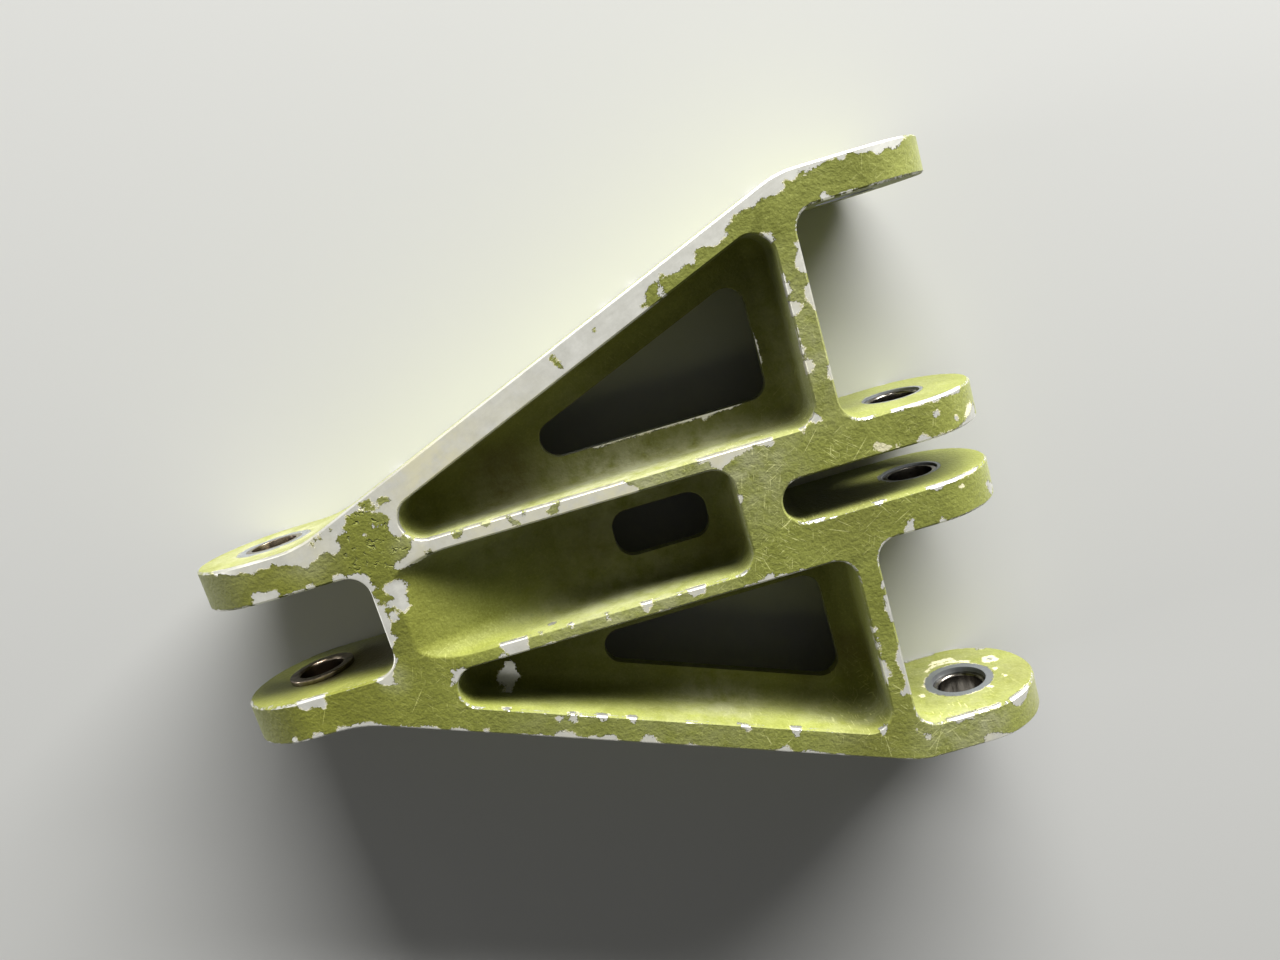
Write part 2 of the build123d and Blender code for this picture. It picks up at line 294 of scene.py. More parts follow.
paint_left = [
    [(25.1, 24.6), (25.6, 25.1), (27.6, 25.3), (28, 24.2), (28.3, 23), (27.2, 22.6), (26, 23.2)],
    [(28.8, 24.4), (29.6, 25), (31.2, 24.7), (31.6, 23.7), (30.2, 23.4), (29, 23)],
    [(13.8, 20.6), (16.2, 21.3), (15.9, 20.1), (14.3, 20), (14.1, 18.8), (13.4, 19.3)],
    [(18, 21.8), (18.7, 21.5), (18.5, 21), (18, 21.2)],
    [(69.4, 41.8), (70.6, 42), (71.5, 40.4), (71.8, 39), (71.2, 38.9), (70.1, 40.2), (69.5, 41)],
    [(40.6, 14.4), (43.1, 14.4), (42.9, 13), (41.5, 12.2), (40.8, 12.8)],
    [(46.4, 14.4), (49.1, 14.4), (48.7, 13.3), (47.5, 13.1)],
    [(51.8, 14.4), (52.9, 14), (53.9, 12.8), (54.8, 11.7), (54, 11.4), (52.8, 12), (52.5, 13)],
    [(55.3, 14.4), (56.1, 14.2), (56, 12.9), (55.3, 13.3)],
    [(59.7, 12.9), (60.8, 13.3), (62, 14.2), (63.4, 14.2), (62.5, 12.8), (62.6, 11.9), (61.6, 11),
     (60.2, 12.2)],
    [(34.6, 10.6), (34.5, 12), (35.8, 12.2), (36, 10.6)],
    [(79, 44.2), (79.9, 44.6), (79.6, 43.4)],
]


# Depths are worked out only this near to an outline, in mm.
farthest = 3.0


def depth_inside(outline, places):
    """How far each place lies inside a closed outline, less than nothing where it is outside."""
    corners = np.array(outline, float)
    nearest = np.full(len(places), np.inf)
    inside = np.zeros(len(places), bool)
    for (ax, ay), (bx, by) in zip(corners, np.roll(corners, -1, axis=0)):
        along = np.array([bx - ax, by - ay])
        away = places - (ax, ay)
        share = np.clip(away @ along / (along @ along), 0, 1)
        nearest = np.minimum(nearest, np.hypot(*(away - share[:, None] * along).T))
        if ay != by:
            crossing = ax + (places[:, 1] - ay) * (bx - ax) / (by - ay)
            inside ^= ((places[:, 1] > ay) != (places[:, 1] > by)) & (places[:, 0] < crossing)
    return np.where(inside, nearest, -nearest)


def deepest(outlines, places):
    """The depth in whichever outline a place lies deepest, looked for only near each outline."""
    depth = np.full(len(places), -farthest)
    for outline in outlines:
        low = np.min(outline, axis=0) - farthest
        high = np.max(outline, axis=0) + farthest
        near = np.flatnonzero(((places > low) & (places < high)).all(axis=1))
        depth[near] = np.maximum(depth[near], depth_inside(outline, places[near]))
    return depth


def upper_face_depth(points):
    """How far below the upper face a point lies, following the ears' round ends."""
    beyond = np.maximum(np.maximum(points[:, 0] - hinge_spacing, -points[:, 0]), 0)
    return np.sqrt(np.maximum(half_thickness ** 2 - beyond ** 2, 0)) - points[:, 2]


bare_outlines = [upper_rail_bare, left_rib_bare, fork_base_bare]
bare_outlines += rail_chips + rib_chips + cross_wall_chips + fork_chips + ear_chips
# How far a patch reaches round an edge, and how near to a wall a point counts as being on it, in mm.
chip_wrap = 1.1
wall_wrap = 0.6
ring_wrap = 0.5
beside_wall = 1.5
# Paint stops this far outside a bushing's seat, at a steep border.
seat_margin = 0.3
seat_steepness = 4
beside_seat = 8.0
# Heights between which a point lies on a pocket's floor.
floor_low, floor_high = 0.8, 8.0

# Chips on the walls that stand across the hinge axes: Y of the wall, then outlines in X and Z.
wall_chips = [
    (-55.0, [
        [(145.2, -5.9), (144.9, -5), (145.3, -4.4), (146.2, -4.6), (146.1, -5.5), (145.7, -6.1)],
        [(128.4, -14.9), (132, -15.2), (135.6, -15), (136, -17), (128, -17)],
        [(144.8, -11.2), (146.2, -10.8), (148, -11.4), (147, -14), (145.4, -13.6)],
        [(120.6, 16), (122, 13.6), (121.6, 8), (122, 2), (120, 2)],
    ]),
    (-11.2, [[(52.7, 11.6), (53, 12.9), (54.3, 12.9), (54.4, 11.8), (53.6, 11.2)]]),
]
# Chips down in the pockets, and the worn lip of the left hole: outlines in X and Y.
floor_chips = [
    [(36.6, -23.2), (37.5, -21.6), (38.6, -21.4), (39.2, -20.4), (40.4, -20), (41.2, -20.8), (41, -22.4),
     (41.6, -24), (40.2, -24.6), (39.4, -25.6), (38.4, -24.4)],
    [(71.5, 20.8), (72, 19.9), (80, 19.95), (90, 19.9), (95.6, 19.8), (96.4, 18.9), (97.2, 19.8),
     (104, 19.9), (105, 20.8)],
    [(110.2, 27), (110.9, 27), (111.1, 30), (110.9, 34), (110.2, 34)],
]
# Bright rings where hinge washers have turned on the ears: Y of the face, X of the axis, radius,
# and how fully the ring is worn.
worn_rings = [(-55.0, hinge_spacing, 7.6, 1.0), (55.0, hinge_spacing, 7.5, -0.2), (19.6, 0.0, 7.9, 0.25),
              (-19.6, 0.0, 7.8, -0.3), (62.5, hinge_spacing, 8.2, -0.4), (-62.5, hinge_spacing, 8.2, -0.3)]


def bareness(points):
    """Depth inside the bare patches in mm. A patch on an edge wraps a little way round it."""
    depth = np.full(len(points), -farthest)
    below = upper_face_depth(points)
    near = np.flatnonzero(below < chip_wrap + farthest)
    top = deepest(bare_outlines, points[near, :2])
    top = np.minimum(top, -deepest(paint_left, points[near, :2]))
    depth[near] = np.maximum(-farthest, np.minimum(top, chip_wrap - below[near]))
    for wall, outlines in wall_chips:
        near = np.flatnonzero(np.abs(points[:, 1] - wall) < beside_wall)
        side = deepest(outlines, points[near][:, [0, 2]])
        side = np.minimum(side, wall_wrap - np.abs(points[near, 1] - wall))
        depth[near] = np.maximum(depth[near], side)
    for face, axis, radius, worn in worn_rings:
        near = np.flatnonzero(np.abs(points[:, 1] - face) < beside_wall)
        side = radius - np.hypot(points[near, 0] - axis, points[near, 2])
        side = np.minimum(np.minimum(side, worn), ring_wrap - np.abs(points[near, 1] - face))
        depth[near] = np.maximum(depth[near], side)
    for axis in (0.0, hinge_spacing):
        near = np.flatnonzero(np.abs(points[:, 0] - axis) < beside_seat)
        radius = np.hypot(points[near, 0] - axis, points[near, 2])
        side = seat_steepness * (bushing_radius + seat_margin - radius)
        depth[near] = np.maximum(depth[near], side)
    near = np.flatnonzero((points[:, 2] > floor_low) & (points[:, 2] < floor_high))
    depth[near] = np.maximum(depth[near], deepest(floor_chips, points[near, :2]))
    return depth


# Places where only the top coat is gone and the cream filler under it shows.
filler_on_top = [
    [(125.9, 6.7), (126.5, 7.4), (127.5, 7.1), (128.5, 6.4), (129.4, 5.7), (128.4, 5), (127, 5.2),
     (126, 5.9)],
    [(130, 5.4), (130.6, 5.8), (131.4, 5.2), (130.6, 4.9)],
    [(139, 9.3), (139.7, 9.6), (139.9, 10.3), (140.3, 9.6), (140.9, 9.4), (140.2, 9), (139.9, 8.5),
     (139.6, 9)],
    [(143.6, 7.4), (144.1, 7.9), (144.6, 7), (144.2, 6.3), (143.6, 6.6)],
    [(146, 6.3), (147, 8), (148.6, 8.6), (149.4, 7.4), (147.8, 6.2)],
    [(141, -6.4), (141.8, -6.1), (142.2, -7), (141.4, -7.2)],
]
filler_depth = 1.0
filler_ear_face = -55.0
filler_on_ear = [
    [(125.8, 2.2), (126, 3.4), (126.8, 3.6), (127.4, 2.8), (126.6, 2)],
    [(144.8, 3.2), (145.2, 4.9), (145.6, 4.4), (145.3, 3.2)],
    [(144, -0.8), (144.3, 0.8), (145.2, 0.5), (145.4, -0.6)],
    [(143.6, -5.2), (144, -4.1), (144.9, -3.5), (145.6, -3.6), (146.6, -3.1), (147.3, -4.2), (146.9, -5),
     (147.2, -5.9), (146.5, -6.9), (145.6, -6.6), (144.6, -7.1), (144.2, -6.1)],
    [(127.8, -1.8), (128.1, -0.4), (128.7, -0.6), (128.6, -1.8)],
    [(131, -7), (133, -8.6), (136.5, -8.9), (139.6, -7.4), (141, -6), (141.6, -7), (138.6, -9.6),
     (133.4, -9.6), (130.6, -8)],
    [(132.4, -10.2), (135, -10), (138.8, -9.8), (138.4, -11.2), (134, -11.6)],
    [(139.4, 6.6), (140.6, 7.8), (141.6, 7.4), (140.4, 6.2)],
]


def filler_shown(points):
    """Depth in mm inside the patches of cream filler."""
    depth = np.full(len(points), -farthest)
    near = np.flatnonzero(upper_face_depth(points) < filler_depth)
    depth[near] = deepest(filler_on_top, points[near, :2])
    near = np.flatnonzero(np.abs(points[:, 1] - filler_ear_face) < ring_wrap)
    depth[near] = np.maximum(depth[near], deepest(filler_on_ear, points[near][:, [0, 2]]))
    return depth


# Two faces that meet at more than this keep a crisp edge between them. The lips of the holes, nearer
# to mid thickness than 3 mm, aren't rubbed as the outside edges are.
crisp_angle = math.radians(28)
hole_lips = 3.0


def triangles_of(node):
    """Corner points in mm, corner normals and sharp ridges of a node's triangles."""
    shell = bmesh.new()
    shell.from_mesh(node.data)
    bmesh.ops.remove_doubles(shell, verts=shell.verts, dist=1e-6)
    ridges = [[v.co / MM for v in edge.verts] for edge in shell.edges
              if edge.is_manifold and edge.is_convex and edge.calc_face_angle() > crisp_angle
              and abs(edge.verts[0].co.z) > hole_lips * MM]
    mesh = bpy.data.meshes.new("shell")
    shell.to_mesh(mesh)
    shell.free()
    mesh.shade_smooth()
    mesh.set_sharp_from_angle(angle=crisp_angle)
    copy = bpy.data.objects.new("shell", mesh)
    bpy.context.scene.collection.objects.link(copy)
    weigh = copy.modifiers.new("weigh", "WEIGHTED_NORMAL")
    weigh.keep_sharp = True
    weigh.weight = 60
    weighed = copy.evaluated_get(bpy.context.evaluated_depsgraph_get()).to_mesh()
    places = np.empty(len(weighed.vertices) * 3)
    corners = np.empty(len(weighed.loops), dtype=np.int64)
    normals = np.empty(len(weighed.loops) * 3)
    weighed.vertices.foreach_get("co", places)
    weighed.loops.foreach_get("vertex_index", corners)
    weighed.corner_normals.foreach_get("vector", normals)
    bpy.data.objects.remove(copy)
    bpy.data.meshes.remove(mesh)
    points = places.reshape(-1, 3)[corners].reshape(-1, 3, 3) / MM
    return points, normals.reshape(-1, 3, 3), ridges


# How a triangle with no, one, two or three halved edges is cut: 0 to 2 are its corners, 3 to 5 the
# middles of its edges, the halved ones first.
split_patterns = [
    [[0, 1, 2]],
    [[0, 3, 2], [3, 1, 2]],
    [[3, 1, 4], [0, 3, 4], [0, 4, 2]],
    [[0, 3, 5], [3, 1, 4], [5, 4, 2], [3, 4, 5]],
]
# Longest edges in mm: at the border of a patch, on the two faces, on the ears and elsewhere.
shortest_edge = 0.6
edge_on_face = 2.2
edge_on_ear = 3.2
coarsest_edge = 7.0
edge_growth = 1.6


def halve_long_edges(points, normals, longest):
    """Halves every edge that is longer than wanted at its middle, round by round, until none is."""
    while True:
        ahead = np.roll(points, -1, axis=1)
        middles = (points + ahead) / 2
        lengths = np.linalg.norm(ahead - points, axis=2)
        cut = lengths > shortest_edge
        cut[cut] = lengths[cut] > longest(middles[cut])
        if not cut.any():
            return points, normals
        between = normals + np.roll(normals, -1, axis=1)
        between /= np.linalg.norm(between, axis=2)[:, :, None]
        new_points, new_normals = [], []
        for cuts in range(4):
            rows = np.flatnonzero(cut.sum(axis=1) == cuts)
            if cuts == 1:
                first = cut[rows].argmax(axis=1)
            elif cuts == 2:
                first = ((~cut[rows]).argmax(axis=1) + 1) % 3
            else:
                first = np.zeros(len(rows), int)
            order = (first[:, None] + np.arange(3)) % 3
            six = []
            for corner, middle in ((points, middles), (normals, between)):
                turned = np.take_along_axis(corner[rows], order[:, :, None], axis=1)
                turned_middle = np.take_along_axis(middle[rows], order[:, :, None], axis=1)
                six.append(np.concatenate([turned, turned_middle], axis=1))
            for pick in split_patterns[cuts]:
                new_points.append(six[0][:, pick])
                new_normals.append(six[1][:, pick])
        points, normals = np.concatenate(new_points), np.concatenate(new_normals)


ridge_spacing = 0.25
points, normals, ridges = triangles_of(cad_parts["link_body"])
ridge_points = []
for start, end in ridges:
    steps = max(2, int((end - start).length / ridge_spacing))
    ridge_points += [start.lerp(end, step / steps) for step in range(steps)]
ridge_tree = kdtree.KDTree(len(ridge_points))
for index, place in enumerate(ridge_points):
    ridge_tree.insert(place, index)
ridge_tree.balance()


def ridge_distance(points):
    """Distance in mm from each point to the nearest outside edge."""
    return np.array([ridge_tree.find(place)[2] for place in points.tolist()])


def wanted_edge(points):
    """Longest edge allowed at a place: short where a patch begins, long on plain walls and webs."""
    border = np.minimum(np.abs(bareness(points)), np.abs(filler_shown(points)))
    wanted = np.where(border < farthest - 0.1, shortest_edge + edge_growth * border, coarsest_edge)
    on_ear = (points[:, 0] < fork_ear_end) | (points[:, 0] > wide_ear_start)
    wanted[on_ear] = np.minimum(wanted[on_ear], edge_on_ear)
    on_face = np.abs(points[:, 2]) > face_start
    wanted[on_face] = np.minimum(wanted[on_face], edge_on_face)
    return wanted


points, normals = halve_long_edges(points, normals, wanted_edge)

# Weld the triangles and keep their normals, then write what the primer's wear follows: the depth
# inside bare and filler patches, the distance to an outside edge, and how stained, dusty, scuffed or
# polished the place is. The stain layer also holds painted shade, and the dust layer a painted sheen.
spots, corner_of = np.unique(np.round(points.reshape(-1, 3), 4), axis=0, return_inverse=True)
corner_of = corner_of.reshape(-1, 3)
whole = (corner_of != np.roll(corner_of, 1, axis=1)).all(axis=1)
body_mesh = bpy.data.meshes.new("link")
body_mesh.from_pydata(spots * MM, [], corner_of[whole].tolist())
body_mesh.shade_smooth()
body_mesh.normals_split_custom_set(normals[whole].reshape(-1, 3).tolist())

# Brown grime, and painted shade: darker spots on the pocket floors, on the shaded inner face of the lower
# fork ear and over the fork end. Place in mm, radius and strength.
grime_and_shade_spots = [
    (113.5, 15.5, 3, 3.0, 0.6), (112.5, -42.5, 3, 2.6, 0.9), (113, -46.5, 4, 2.6, 0.4),
    (92, -6, 2, 8.0, 0.55), (78, -8, 2, 7.0, 0.45), (104, 18, 2, 9.0, 0.4), (85, 17, 2, 10.0, 0.35),
    (100, -40, 2, 9.0, 0.4), (70, -27, 2, 12.0, 0.35), (3, -11, 5.5, 3.6, 1.0), (7, -11, 1, 4.5, 0.9),
    (14, -11, 0, 9.0, 0.95), (0, -11, -7, 4.0, 0.8), (108, -18, 2, 6.0, 0.4), (112, -54, 16, 9.0, 0.2),
    (8, 15, 16, 16.0, 0.16), (4, -17, 16, 16.0, 0.12), (25, 2, 16, 12.0, 0.12), (150, -60, 6, 8.0, 0.3),
    (112, -40, 3, 8.0, 0.75), (103, -41, 2, 7.0, 0.6), (52, 20, 1, 11.0, 0.75), (66, 0, 1, 9.0, 0.6),
    (118, -4.65, 4, 12.0, 0.55), (10, -11, -5, 7.0, 0.95), (108, 28, 1, 8.0, 0.35),
]
# Pale dust and rubbing, and a pale painted sheen high on the pocket walls and ear faces that the lamps
# light, listed the same way.
dust_and_sheen_spots = [
    (130, -58, 16, 9.0, 0.6), (148, -58, 12, 6.0, 0.2), (82, -41, 6, 11.0, 0.6), (105, -47, 9, 9.0, 0.4),
    (50, 14.2, 13, 12.0, 0.8), (75, 14.2, 11, 18.0, 1.0), (95, 14.2, 11, 16.0, 0.8),
    (70, -11.2, 12, 20.0, 0.6), (116.8, 30, 11, 16.0, 0.5), (136, -55, 0, 16.0, 0.35),
    (0, 19.6, 0, 13.0, 1.1), (113.5, -50, 8, 4.5, 0.9), (136, -58, 15, 4.0, 0.9),
    (75, -40, 16, 14.0, 0.25), (50, -30, 16, 12.0, 0.2), (121.6, 30, 8, 16.0, 0.3),
    (136, 12.65, 0, 12.0, 0.3), (58, 31, 16, 12.0, 0.3), (42, 28, 16, 12.0, 0.9), (12, 18, 16, 6.0, 0.5),
    (28, -44, 16, 9.0, 0.4), (34, 13, 16, 5.0, 0.6), (20, -12, 16, 3.0, 0.5),
]
# Edges that kept their paint, listed the same way.
kept_edges = [
    (34, -11.2, 16, 6.0, 2.0), (100, 14.2, 16, 9.0, 1.0), (114, 20, 16, 8.0, 1.0), (98, 0, 16, 8.0, 1.0),
    (112, -52, 16, 6.0, 1.0), (108, 52, 16, 8.0, 1.0),
]
# Flurries of scratches, listed the same way.
scuffs = [
    (100, 8, 16, 12.0, 0.9), (104, -8, 16, 10.0, 0.8), (118, 8, 16, 9.0, 0.7), (118, 30, 16, 12.0, 0.45),
    (118, -45, 16, 9.0, 0.9), (128, -58, 16, 9.0, 1.0), (126, -9, 16, 9.0, 0.6), (136, 9, 16, 10.0, 0.4),
    (90, -12, 16, 9.0, 0.5), (112, -53, 16, 9.0, 0.6), (28, -18, 16, 10.0, 0.4), (5, -16, 16, 9.0, 0.3),
    (85, -46, 16, 16.0, 0.3), (-8, -12, 16, 6.0, 0.5), (112, 18, 8, 9.0, 0.6), (112, -46, 8, 9.0, 1.0),
    (114, -50, 8, 6.0, 1.3), (136, 58, 16, 12.0, 0.3), (136, -55, 0, 16.0, 0.3),
    (136, 12.6, 0, 16.0, 0.3), (80, 40, 16, 30.0, 0.2),
]


# A mark is full out to 0.4 of its radius and has faded out at 1.4.
faded_out = 1.4


def spread(places):
    """Strength at each point of marks that fade out round their places."""
    strongest = np.zeros(len(spots))
    for x, y, z, radius, strength in places:
        away = np.linalg.norm(spots - (x, y, z), axis=1) / radius
        strongest = np.maximum(strongest, strength * np.clip(faded_out - away, 0, 1))
    return strongest


layers = {"bare": bareness(spots), "filler": filler_shown(spots), "edge": ridge_distance(spots),
          "grime_and_shade": spread(grime_and_shade_spots), "dust_and_sheen": spread(dust_and_sheen_spots), "scuff": spread(scuffs)}
# The pockets are darkened towards their floors, a painted shade. Washers have polished the metal round the
# hinge axes.
pocket_painted_shade = 0.34
pocket_shade_top = 9.0
pocket_shade_fade = 6.0
polished_radius = 9.0
rail_slope = 0.3893
rail_offset = 10.2
pocket_start = 24.0
across = np.abs(spots[:, 1])
in_pocket = (spots[:, 0] > pocket_start) & (spots[:, 0] < wide_ear_start)
in_pocket &= across < rail_slope * spots[:, 0] + rail_offset
low_down = np.clip((pocket_shade_top - np.abs(spots[:, 2])) / pocket_shade_fade, 0, 1)
layers["grime_and_shade"] = np.maximum(layers["grime_and_shade"], in_pocket * pocket_painted_shade * low_down)
from_fork_hinge = np.hypot(spots[:, 0], spots[:, 2])
from_wide_hinge = np.hypot(spots[:, 0] - hinge_spacing, spots[:, 2])
layers["polish"] = np.clip(polished_radius - np.minimum(from_fork_hinge, from_wide_hinge), 0, 1)
layers["edge"] += spread(kept_edges)
for name, values in layers.items():
    layer = body_mesh.attributes.new(name, "FLOAT", "POINT")
    layer.data.foreach_set("value", values.astype(np.float32))

# Primer: one sprayed coat, matt and mottled by handling. Where it is gone the milled aluminium
# shows, dulled and scratched, and the coat ends in a fine step with a paler rim in places, partly filler
# and partly a painted highlight.
primer_dark, primer_light = "6e722d", "8a8f44"
grain_dark, grain_light = "585b24", "a2a65e"
scratch_colour = "cfd088"
grime_and_shade_colour = "3f3009"
dust_and_sheen_colour = "b4b394"
step_shadow_colour = "2f2d12"
filler_and_highlight_colour = "d6d0aa"
metal_colour, metal_dull = "c9c8c1", "aaa9a0"
ivory_colour = "cbc6a6"
polished_colour = "999da1"
speck_colour = "6b6a5a"
fork_painted_shade = (0.9, 0.89, 0.6, 1)

# What a node does, for the kinds that are used again and again.
multiply = {"operation": "MULTIPLY"}
multiply_add = {"operation": "MULTIPLY_ADD"}
larger = {"operation": "MAXIMUM"}
smooth = {"interpolation_type": "SMOOTHSTEP"}
colours = {"data_type": "RGBA"}
numbers = {"data_type": "FLOAT"}
stretched = {"vector_type": "TEXTURE"}

primer = bpy.data.materials.new("chipped_green_primer")
primer.use_nodes = True
tree = primer.node_tree
tree.nodes.clear()
coordinates = add_node(tree, "ShaderNodeTexCoord").outputs["Object"]
place = add_node(tree, "ShaderNodeVectorMath", {"operation": "SCALE"},
                 Vector=coordinates, Scale=1 / MM).outputs[0]
depth, filler, edge, grime_and_shade, dust_and_sheen, scuff, polish = [
    add_node(tree, "ShaderNodeAttribute", {"attribute_name": name}).outputs["Fac"] for name in layers]

# The outline of a chip wavers by about half a millimetre, with nicks 0.4 mm wide along it.
ragged_reach = 1.9
nick_reach = 1.3
ragged = add_node(tree, "ShaderNodeTexNoise", Vector=place, Scale=0.8, Detail=8, Roughness=0.78).outputs[0]
waver = add_node(tree, "ShaderNodeMath", multiply_add,
                 _0=ragged, _1=ragged_reach, _2=-(ragged_reach + nick_reach) / 2).outputs[0]
nicks = add_node(tree, "ShaderNodeTexNoise", Vector=place, Scale=2.6, Detail=4, Roughness=0.65).outputs[0]
waver = add_node(tree, "ShaderNodeMath", multiply_add, _0=nicks, _1=nick_reach, _2=waver).outputs[0]
chip_line = add_node(tree, "ShaderNodeMath", {"operation": "ADD"}, _0=depth, _1=waver).outputs[0]
chipped = add_node(tree, "ShaderNodeMapRange", smooth,
                   Value=chip_line, From_Min=-0.04, From_Max=0.04).outputs[0]

# Edges are rubbed through here and there, in a line up to half a millimetre wide, and up to 1.4 mm
# wide at the lower face.
widest_rub = 0.55
lower_side_rub = 2.6
patches = add_node(tree, "ShaderNodeTexNoise", Vector=place, Scale=0.11, Detail=3, Roughness=0.6).outputs[0]
rub_width = add_node(tree, "ShaderNodeMapRange",
                     Value=patches, From_Min=0.55, From_Max=0.78, To_Max=widest_rub).outputs[0]
height_above = add_node(tree, "ShaderNodeSeparateXYZ", Vector=place).outputs["Z"]
lower_side = add_node(tree, "ShaderNodeMapRange", Value=height_above,
                      From_Min=0, From_Max=-10, To_Min=1, To_Max=lower_side_rub).outputs[0]
rub_width = add_node(tree, "ShaderNodeMath", multiply, _0=rub_width, _1=lower_side).outputs[0]
rub_edge = add_node(tree, "ShaderNodeMath", {"operation": "SUBTRACT"}, _0=rub_width, _1=edge).outputs[0]
rub_line = add_node(tree, "ShaderNodeMath", multiply_add, _0=waver, _1=0.35, _2=rub_edge).outputs[0]
rubbed = add_node(tree, "ShaderNodeMapRange", smooth,
                  Value=rub_line, From_Min=-0.04, From_Max=0.06).outputs[0]
bare = add_node(tree, "ShaderNodeMath", larger, _0=chipped, _1=rubbed).outputs[0]

# Primer colour: clouds some 12 mm across, then a grain of half a millimetre left by the spray gun.
clouds = add_node(tree, "ShaderNodeTexNoise", Vector=place, Scale=0.09, Detail=6, Roughness=0.65).outputs[0]
cloud_mix = add_node(tree, "ShaderNodeMapRange", Value=clouds, From_Min=0.25, From_Max=0.75).outputs[0]
coat = add_node(tree, "ShaderNodeMix", colours, _0=cloud_mix,
                _6=linear(primer_dark), _7=linear(primer_light)).outputs[2]
grain = add_node(tree, "ShaderNodeTexNoise", Vector=place, Scale=1.9, Detail=3, Roughness=0.7).outputs[0]
dark_grain = add_node(tree, "ShaderNodeMapRange",
                      Value=grain, From_Min=0.52, From_Max=0.75, To_Max=0.5).outputs[0]
coat = add_node(tree, "ShaderNodeMix", colours, _0=dark_grain, _6=coat, _7=linear(grain_dark)).outputs[2]
pale_grain = add_node(tree, "ShaderNodeMapRange",
                      Value=grain, From_Min=0.46, From_Max=0.28, To_Max=0.4).outputs[0]
coat = add_node(tree, "ShaderNodeMix", colours, _0=pale_grain, _6=coat, _7=linear(grain_light)).outputs[2]

# Light scratches, a tenth of a millimetre wide and in flurries where the link has been handled most.
scored = None
scratch_sets = ((0.5, 3.0, 0.2), (1.3, 21.0, 0.27), (-0.7, 47.0, 0.17), (2.2, 80.0, 0.3))
scratch_shape = (3.4, 0.22, 3)
for angle, offset, flurry_scale in scratch_sets:
    lined = add_node(tree, "ShaderNodeMapping", stretched, Vector=place, Rotation=(0, 0, angle),
                     Location=(offset, offset, 0), Scale=scratch_shape).outputs[0]
    line = add_node(tree, "ShaderNodeTexNoise", Vector=lined, Scale=1, Detail=1, Distortion=0.12).outputs[0]
    line = add_node(tree, "ShaderNodeMapRange", Value=line, From_Min=0.67, From_Max=0.72).outputs[0]
    flurry = add_node(tree, "ShaderNodeTexNoise", Vector=place, Scale=flurry_scale, Detail=2).outputs[0]
    flurry = add_node(tree, "ShaderNodeMapRange", Value=flurry, From_Min=0.48, From_Max=0.56).outputs[0]
    line = add_node(tree, "ShaderNodeMath", multiply, _0=line, _1=flurry).outputs[0]
    if scored:
        line = add_node(tree, "ShaderNodeMath", larger, _0=scored, _1=line).outputs[0]
    scored = line
scored = add_node(tree, "ShaderNodeMath", multiply, _0=scored, _1=scuff).outputs[0]

# Single strokes on the upper face: both ends in X and Y, then the width, in mm.
strokes = [
    (113, -7, 117.5, -9, 0.16), (115, -5.5, 118, -8, 0.14), (99, -9, 100, -12.5, 0.14),
    (117.8, -43.1, 121.2, -47, 0.2), (117.7, -45.6, 121.2, -45.9, 0.16),
    (121.9, -60.6, 127.1, -56.1, 0.2), (123.2, -61.6, 126.2, -55.7, 0.16),
    (126.2, -57.7, 130, -56.7, 0.2), (128, -57.2, 129.4, -60.4, 0.18), (113.8, -53, 114.3, -61, 0.14),
    (89.7, -46.6, 90.5, -49.3, 0.2), (95.3, -48.8, 92.5, -50.4, 0.14), (103.3, -49.4, 105.5, -50.6, 0.14),
    (25.1, -15, 20.6, -20.4, 0.12), (4.5, -13.5, 2.5, -17.3, 0.14), (134.1, -57, 137.3, -57.8, 0.3),
    (112, 9, 116.5, 14, 0.12), (101, 6.6, 106, 2.5, 0.12), (104, 9.4, 109.4, 7.8, 0.12),
    (120.4, 4, 125.6, 9.4, 0.12),
]
for x, y, end_x, end_y, width in strokes:
    half_length = math.hypot(end_x - x, end_y - y) / 2
    direction = math.atan2(end_y - y, end_x - x)
    laid = add_node(tree, "ShaderNodeMapping", stretched, Vector=place,
                    Location=((x + end_x) / 2, (y + end_y) / 2, half_thickness),
                    Rotation=(0, 0, direction), Scale=(half_length, width / 2, 1)).outputs[0]
    away = add_node(tree, "ShaderNodeVectorMath", {"operation": "LENGTH"}, Vector=laid).outputs["Value"]
    line = add_node(tree, "ShaderNodeMapRange", Value=away, From_Min=1, From_Max=0.7, To_Max=0.8).outputs[0]
    scored = add_node(tree, "ShaderNodeMath", larger, _0=scored, _1=line).outputs[0]
coat = add_node(tree, "ShaderNodeMix", colours, _0=scored, _6=coat, _7=linear(scratch_colour)).outputs[2]
# Towards the fork end the primer turns darker and more saturated: painted shade.
along_link = add_node(tree, "ShaderNodeSeparateXYZ", Vector=place).outputs["X"]
fork_shade = add_node(tree, "ShaderNodeMapRange", Value=along_link, From_Min=45, From_Max=5).outputs[0]
coat = add_node(tree, "ShaderNodeMix", {"data_type": "RGBA", "blend_type": "MULTIPLY"}, _0=fork_shade, _6=coat,
                _7=fork_painted_shade).outputs[2]
# Brown grime mixed into the primer, which also lays on the painted shade in the pockets, on the lower fork
# ear and over the fork end.
grime_and_painted_light = add_node(tree, "ShaderNodeMath", multiply, _0=grime_and_shade, _1=0.85).outputs[0]
coat = add_node(tree, "ShaderNodeMix", colours, _0=grime_and_painted_light, _6=coat, _7=linear(grime_and_shade_colour)).outputs[2]

